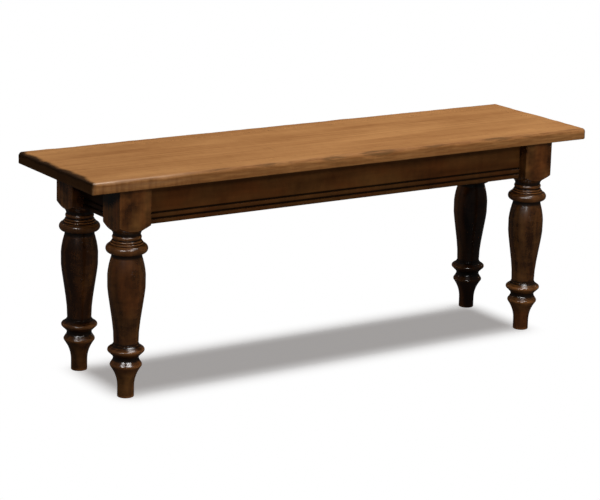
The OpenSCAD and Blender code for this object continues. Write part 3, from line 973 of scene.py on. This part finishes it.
def seat_edge_colour(graph, body, streaks):
    """The colour along the seat's edge: dark end grain and hollows, rubbed pale places with a painted
    highlight, and painted shade along the left end's top edge.
    """
    place = graph.place()
    spot = graph.split(place)
    facing = graph.split(graph.add("TexCoord")["Normal"])
    wear_and_light = graph.attribute("wear_and_light")
    side = graph.spread(facing[2], 0.90, 0.35)

    # Soiled by hands, and scored near the left end.
    soiled = graph.math("MAXIMUM", graph.times(side, 0.3), wear_and_light)
    body = graph.laid(body, soiled, 0.35, (0.200, 0.078, 0.022, 1))
    marks = graph.cells(place, 110.0, 14.0)
    scored = graph.times(side, graph.spread(marks, 0.46, 0.66))
    scored = graph.times(scored, graph.spread(spot[0], -0.30, -0.50))
    body = graph.laid(body, scored, 0.55, (0.150, 0.054, 0.016, 1))

    # Smudges along the edge, and dark stain in the scoops.
    drift = graph.cells(place, 17.0, 190.0, detail=3.0, roughness=0.6, distortion=0.4)
    smudge = graph.math("MAXIMUM", graph.times(side, 0.7), wear_and_light)
    smudge = graph.times(smudge, graph.spread(drift, 0.40, 0.60))
    body = graph.laid(body, smudge, 0.60, (0.150, 0.055, 0.015, 1))
    stain = graph.times(graph.spread(graph.attribute("scoop"), 0.04, 0.50), graph.spread(drift, 0.34, 0.56))
    body = graph.laid(body, stain, 0.70, (0.105, 0.050, 0.014, 1))

    # Rubbed pale with a painted highlight, then the end grain, paler where it is rubbed or painted bright.
    pale_and_highlight = graph.times(graph.attribute("pale_and_highlight"), graph.spread(streaks, 0.3, 0.65, 0.35, 1.0))
    body = graph.laid(body, pale_and_highlight, 0.55, (0.62, 0.38, 0.21, 1))
    blot = graph.cells(place, 60.0, 60.0, detail=4.0, roughness=0.65)
    ends = graph.summed(graph.math("ABSOLUTE", facing[0]), ((blot, 0.7),))
    ends = graph.times(graph.spread(ends, 0.25, 0.70), graph.spread(pale_and_highlight, 0.0, 0.3, 0.88, 0.25))
    body = graph.mix(ends, body, (0.044, 0.018, 0.006, 1))

    # A dark scalloped border along the worn top edge of the left end: painted shade where that edge turns
    # away from the light, and stain in its bites.
    scallop = graph.cells(place, 2.0, 24.0, detail=1.0)
    width = graph.spread(scallop, 0.36, 0.66, 0.005, 0.015)
    inward = graph.plus(spot[0], -seat_lo.x)
    shade_and_stain_border = graph.spread(graph.minus(inward, width), 0.005, -0.004)
    shade_and_stain_border = graph.times(shade_and_stain_border, graph.spread(facing[2], -0.1, 0.25))
    return graph.laid(body, shade_and_stain_border, 0.88, (0.018, 0.008, 0.003, 1))


def leg_lift(graph, grain, shift):
    """How much lighter a leg's block, unevenly, and its foot are than its vase. The foot's lift is painted
    light, and the block's darker top is a painted shadow of the seat.
    """
    height = graph.minus(graph.split(grain)[0], shift[0])
    uneven_and_shadowed = graph.times(graph.minus(graph.cells(grain, 24.0, 24.0), 0.38), 1.1)
    # Painted shadow of the seat: the block darker near its top.
    uneven_and_shadowed = graph.minus(uneven_and_shadowed, graph.spread(height, LEG_H - 0.045, LEG_H - 0.010, 0.0, 0.08))
    block = graph.spread(height, LEG_H - BLOCK_H - 0.04, LEG_H - BLOCK_H)
    # Painted light: lighter from the large bead down to the foot.
    foot = graph.spread(height, LARGE_BEAD_Z, LOW_BEAD_Z, 0.0, 0.12)
    return graph.plus(graph.times(block, uneven_and_shadowed), foot)


def dark_stain(name, axis, shift, pith, wander, full, thin, gloss, level):
    """Dark stained maple: red-brown where its tone is past thin, near black under full."""
    graph = new_graph(name)
    grain = grain_space(graph, axis, shift)
    rings = ring_tone(graph, grain, pith, 0.012, wander)
    clouds = graph.cells(grain, 8.0, 20.0, detail=3.0, distortion=0.6)
    mottle = graph.cells(grain, 78.0, 30.0, detail=3.0, roughness=0.6, distortion=0.3)
    streaks = graph.cells(grain, 7.0, 130.0, detail=4.0, roughness=0.6)
    fibres = graph.cells(grain, 40.0, 1100.0, detail=3.0, roughness=0.6)
    blots = graph.cells(grain, 240.0, 170.0, roughness=0.6)
    hue = graph.cells(grain, 11.0, 24.0)
    tone = graph.summed(graph.times(rings, 0.20), (
        (clouds, 0.55), (mottle, 0.30), (blots, 0.10), (streaks, 0.24), (fibres, 0.10)))
    if axis == "Z":
        tone = graph.plus(tone, leg_lift(graph, grain, shift))
    warm = graph.mix(graph.spread(hue, 0.36, 0.64), (0.235, 0.074, 0.017, 1), (0.250, 0.104, 0.027, 1))
    body = graph.mix(graph.spread(tone, full, thin), (0.034, 0.011, 0.0028, 1), warm)
    wear_and_light = graph.attribute("wear_and_light")
    # Near black in creases, where stain gathers and shade is painted; lighter red-brown on edges, where the
    # stain is rubbed and a highlight is painted.
    body = graph.laid(body, graph.spread(wear_and_light, -0.08, -0.50), 0.94, (0.008, 0.004, 0.002, 1))
    rubbed_and_highlight = graph.times(graph.spread(wear_and_light, 0.25, 0.90), graph.spread(clouds, 0.25, 0.55, 0.3, 1.0))
    body = graph.laid(body, rubbed_and_highlight, 0.60, (0.320, 0.125, 0.036, 1))
    graph.relief(streaks, 0.00001)
    return graph.finish(body, graph.spread(clouds, 0.3, 0.7, gloss, gloss + 0.06), level)


def bare_wood(name, axis, shift):
    """Unfinished maple."""
    graph = new_graph(name)
    grain = grain_space(graph, axis, shift)
    rings = ring_tone(graph, grain, (0.13, -0.09), 0.004, 0.012)
    streaks = graph.cells(grain, 12.0, 260.0, detail=4.0, roughness=0.6)
    clouds = graph.cells(grain, 10.0, 30.0)
    tone = graph.plus(graph.times(rings, 0.7), graph.times(streaks, 0.6))
    tone = graph.plus(tone, graph.times(clouds, 0.5))
    body = graph.mix(graph.spread(tone, 0.5, 1.3), (0.63, 0.42, 0.24, 1), (0.42, 0.25, 0.125, 1))
    graph.relief(streaks, 0.00015)
    return graph.finish(body, 0.7, level=0.3)


def zinc_steel():
    """Bright zinc plate with a fine speckled tone."""
    graph = new_graph("zinc_plated_steel")
    spangle = graph.cells(graph.place(), 900.0, 900.0, detail=3.0)
    body = graph.mix(spangle, (0.50, 0.50, 0.48, 1), (0.66, 0.66, 0.63, 1))
    return graph.finish(body, graph.spread(spangle, 0.3, 0.7, 0.28, 0.42), metal=1.0)


# Studio

WHITE = (1, 1, 1, 1)
WORLD_LIGHT = 0.02
FLOOR_SIZE = 60
# Distances from the middle where the shadow starts to fade, and where it has gone.
FADE_X = (0.475, 0.555)
FADE_Y = (0.055, 0.180)
# Gloss shows a part of the white background, because most of the room round the bench was dark.
BACKGROUND_IN_GLOSS = 0.015
SEEN_WHOLE = {"Is Camera Ray": 1.0, "Is Transmission Ray": 1.0}
SEEN_IN_GLOSS = {"Is Glossy Ray": BACKGROUND_IN_GLOSS}
# The camera: its place, where its right side and its lens point, and the lens.
CAMERA_PLACE = (-2.4825, -3.7210, 1.3807)
CAMERA_RIGHT = (0.8383, -0.5446, 0.0264)
CAMERA_AHEAD = (0.5358, 0.8138, -0.2252)
CAMERA_LENS = 130.33
CAMERA_SHIFT = -0.1


def build_world():
    """A white background with a low even light."""
    world = bpy.data.worlds.new("studio")
    bpy.context.scene.world = world
    graph = Graph(world)
    background = graph.tree.nodes["Background"].inputs
    background["Color"].default_value = WHITE
    seen = graph.ray_share(SEEN_WHOLE | SEEN_IN_GLOSS)
    graph.feed(background["Strength"], graph.spread(seen, 0.0, 1.0, WORLD_LIGHT, 1.0))


def build_floor():
    """A white floor that keeps the bench's shadow and fades to pure white."""
    bpy.ops.mesh.primitive_plane_add(size=FLOOR_SIZE, location=(0, 0, 0))
    floor = bpy.context.object
    floor.name = "floor"
    graph = new_graph("floor")
    nodes = graph.tree.nodes
    nodes.remove(nodes["Principled BSDF"])
    bounce = graph.add("BsdfDiffuse", {"Color": (0.010, 0.010, 0.010, 1)})[0]
    sheen = graph.add("Emission", {"Color": WHITE, "Strength": graph.ray_share(SEEN_IN_GLOSS)})[0]
    unseen = graph.add("AddShader", {0: bounce, 1: sheen})[0]
    lit = graph.add("BsdfDiffuse", {"Color": WHITE})[0]
    glow = graph.add("Emission", {"Color": (1, 0.96, 0.94, 1), "Strength": 0.34})[0]
    kept = graph.add("AddShader", {0: lit, 1: glow})[0]
    white = graph.add("Emission", {"Color": WHITE, "Strength": 1.0})[0]
    near = 1.0
    for part, (whole, none) in zip(graph.split(graph.place()), (FADE_X, FADE_Y)):
        distance = graph.math("ABSOLUTE", part)
        fade = graph.spread(distance, whole, none, 1.0, 0.0, interpolation_type="SMOOTHSTEP")
        near = graph.times(near, fade)
    shown = graph.add("MixShader", {0: near, 1: white, 2: kept})[0]
    surface = graph.add("MixShader", {0: graph.ray_share(SEEN_WHOLE), 1: unseen, 2: shown})[0]
    graph.feed(nodes["Material Output"].inputs["Surface"], surface)
    floor.data.materials.append(graph.owner)
    return floor


def softbox(name, place, target, width, height, power, lights="both"):
    """A white lamp that faces a target. It lights the body of a surface, its gloss, or both."""
    lamp = bpy.data.lights.new(name, "AREA")
    lamp.shape = "RECTANGLE"
    lamp.size = width
    lamp.size_y = height
    lamp.energy = power
    stand = in_scene(name, lamp)
    stand.location = place
    stand.visible_glossy = lights != "body"
    stand.visible_diffuse = lights != "gloss"
    stand.rotation_euler = (Vector(target) - Vector(place)).to_track_quat("-Z", "Y").to_euler()
    return stand


def link_lamps(name, state, pieces, lamps):
    """Lets these lamps light only some pieces, with INCLUDE, or all but them, with EXCLUDE."""
    group = bpy.data.collections.new(name)
    for piece in pieces:
        group.objects.link(piece)
    for member in group.collection_objects:
        member.light_linking.link_state = state
    for lamp in lamps:
        lamp.light_linking.receiver_collection = group


def build_lamps(floor, legs, left_apron):
    """The floor's lamp, which throws the bench's shadow, and the lamps that light the bench."""
    link_lamps("floor_only", "INCLUDE", [floor], [
        softbox("above_floor", (0, 0.08, 4.6), (0, 0.08, 0), 3.6, 1.67, 313),
    ])
    link_lamps("bench_only", "EXCLUDE", [floor], [
        softbox("overhead", (0.70, -0.25, 3.2), (0.1, 0, 0.4), 2.0, 1.2, 82),
        softbox("behind", (-1.5, 2.0, 1.3), (0, 0, 0.25), 0.9, 0.7, 14, "body"),
        softbox("right_end", (2.2, 0.8, 0.8), (0.5, 0, 0.30), 0.6, 0.5, 9, "body"),
    ])
    link_lamps("front_of_bench", "EXCLUDE", [floor, legs[3], left_apron], [
        softbox("key", (0.5, -2.00, 1.25), (0, 0, 0.35), 0.5, 0.25, 12, "body"),
        softbox("low_fill", (0.3, -3.00, 0.30), (0, 0, 0.25), 1.6, 0.3, 13, "body"),
        softbox("left_fill", (-1.85, -1.25, 1.22), (-0.2, 0, 0.30), 0.4, 0.22, 7.0, "body"),
    ])
    link_lamps("glossy_legs", "INCLUDE", legs[:3], [
        softbox("front_right", (-0.50, -1.90, 1.70), (0, 0, 0.35), 1.30, 0.20, 13, "gloss"),
        softbox("front_left", (-1.95, -1.20, 1.58), (-0.2, 0, 0.30), 0.90, 0.20, 10, "gloss"),
    ])
    link_lamps("rear_right_leg", "INCLUDE", [legs[3]], [
        softbox("back_gleam", (-1.10, -2.00, 1.60), (0.5, 0.1, 0.2), 0.6, 0.4, 12, "gloss"),
        softbox("back_glow", (-0.60, -2.60, 0.30), (0.5, 0.1, 0.1), 0.5, 0.3, 1.0, "body"),
    ])
    link_lamps("front_right_leg", "INCLUDE", [legs[1]], [
        softbox("streak", (-1.10, -2.00, 1.40), (0.5, -0.1, 0.3), 0.3, 0.3, 8, "gloss"),
    ])


def build_camera():
    """The camera that took the photo, with its slight roll and shifted lens."""
    camera = bpy.data.cameras.new("camera")
    camera.lens = CAMERA_LENS
    camera.shift_y = CAMERA_SHIFT
    stand = in_scene("camera", camera)
    back = -Vector(CAMERA_AHEAD).normalized()
    up = back.cross(Vector(CAMERA_RIGHT)).normalized()
    turn = Matrix((up.cross(back), up, back)).transposed().to_4x4()
    stand.matrix_world = Matrix.Translation(CAMERA_PLACE) @ turn
    bpy.context.scene.camera = stand


# Assembly

def dress(piece, material, slot, *nodes):
    """Gives a piece its material, puts it under the root body, and hides the CAD nodes it stands for."""
    piece.data.materials.clear()
    piece.data.materials.append(material)
    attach(piece, "root")
    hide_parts(*nodes)


def build_seat():
    """Three boards that meet edge to edge, cut from one worn slab."""
    columns = [seat_column(place, outward) for place, outward in seat_edge()]
    slab = skin(zip(*columns), "wear_and_light", "pale_and_highlight", "scoop")
    boards = (
        ("front", None, joint_lo.y, (2.6, 0.1, 0.3), (0.02, -0.16)),
        ("middle", joint_lo.y, joint_hi.y, (3.7, 0.7, 0.1), (0.31, -0.02)),
        ("rear", joint_hi.y, None, (1.3, 0.2, 0.0), (-0.50, 0.05)),
    )
    for name, low, high, shift, pith in boards:
        board = board_from(slab, f"worn_board_{name}", low, high)
        dress(board, maple_seat(f"seat_maple_{name}", shift, pith), "seat_wood", f"seat_board_{name}")
    slab.free()


def build_legs():
    """Four turned legs with mortised blocks. The rear right one comes last."""
    model = combined(new_object("leg_model", leg_mesh()), leg_cuts())
    legs = moulded(model, {f"turned_leg_{name}": corner_place(side, end) for name, side, end in CORNERS})
    for i, (leg, (name, side, end)) in enumerate(zip(legs, CORNERS)):
        pith = (side * LEG_X + 0.02, end * LEG_Y + PITH_DEPTHS[i])
        material = dark_stain(
            f"leg_stain_{name}", "Z", (2.3 * i, 0, 0), pith, wander=0.016,
            full=LEG_STAIN_AND_SHADE[i], thin=LEG_STAIN_AND_SHADE[i] + 0.50, gloss=0.19, level=1.0)
        dress(leg, material, "dark_stain", f"leg_{name}")
    return legs


def build_aprons():
    """Two long aprons and two short ones, beaded along their lower edges. Gives the left one."""
    places = [sum(corner.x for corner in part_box(f"button_front_{i}")) / 2 for i in (1, 2, 3, 4)]
    long = (2 * LEG_X - BLOCK_W, places, True)
    short = (2 * LEG_Y - BLOCK_W, (0,), False)
    for i, (name, axis, out, sizes) in enumerate((
        ("front", "X", LEG_Y, long),
        ("right", "Y", LEG_X, short),
        ("rear", "X", LEG_Y, long),
        ("left", "Y", LEG_X, short),
    )):
        apron, = moulded(apron_model(*sizes), {f"beaded_apron_{name}": side_place(90 * i, 0, out)})
        material = dark_stain(
            f"apron_stain_{name}", axis, (1.9 * i, 0.5 * i, 0.1), (0.4, 0.36 + 0.1 * i),
            wander=0.060, full=-0.25, thin=0.80, gloss=0.34, level=0.4)
        dress(apron, material, "dark_stain", f"apron_{name}")
    return apron


def build_inside():
    """Corner blocks, the cross rail and the buttons, of bare wood."""
    blocks = {f"glued_block_{name}": corner_place(side, end) for name, side, end in CORNERS}
    for i, block in enumerate(moulded(corner_block_model(), blocks)):
        name = CORNERS[i][0]
        wood = bare_wood(f"block_wood_{name}", "Z", (i, 0.3 * i, 0))
        dress(block, wood, "bare_wood", f"corner_block_{name}")
    rail, = moulded(rail_model(), {"seat_rail": Matrix()})
    dress(rail, bare_wood("rail_wood", "Y", (0.4, 0, 0)), "bare_wood", "cross_rail")

    woods = {axis: bare_wood(f"button_wood_{axis}", axis, (0.9, 0.2, 0)) for axis in ("X", "Y")}
    turns = {f"{side}_{i}": turn for side, turn in (("front", 0), ("rear", 180)) for i in (1, 2, 3, 4)}
    turns |= {"left": 270, "right": 90}
    places = {}
    for name, turn in turns.items():
        lo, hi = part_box(f"button_{name}")
        along = (rotation(-turn, "Z") @ (lo + hi)).x / 2
        out = (LEG_X if turn % 180 else LEG_Y) - APRON_T / 2
        places[f"seat_button_{name}"] = side_place(turn, along, out)
    for button, (name, turn) in zip(moulded(button_model(), places), turns.items()):
        dress(button, woods["X" if turn % 180 else "Y"], "bare_wood", f"button_{name}")


def finish_screws():
    """The screws keep their CAD shapes, in zinc-plated steel."""
    steel = zinc_steel()
    for name in ("corner_block_screws", "leg_screws", "button_screws", "rail_screws"):
        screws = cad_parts[name]
        screws.data.materials.clear()
        screws.data.materials.append(steel)


build_camera()
build_world()
floor = build_floor()
build_seat()
build_lamps(floor, build_legs(), build_aprons())
build_inside()
finish_screws()

bpy.context.scene.view_settings.view_transform = "Standard"
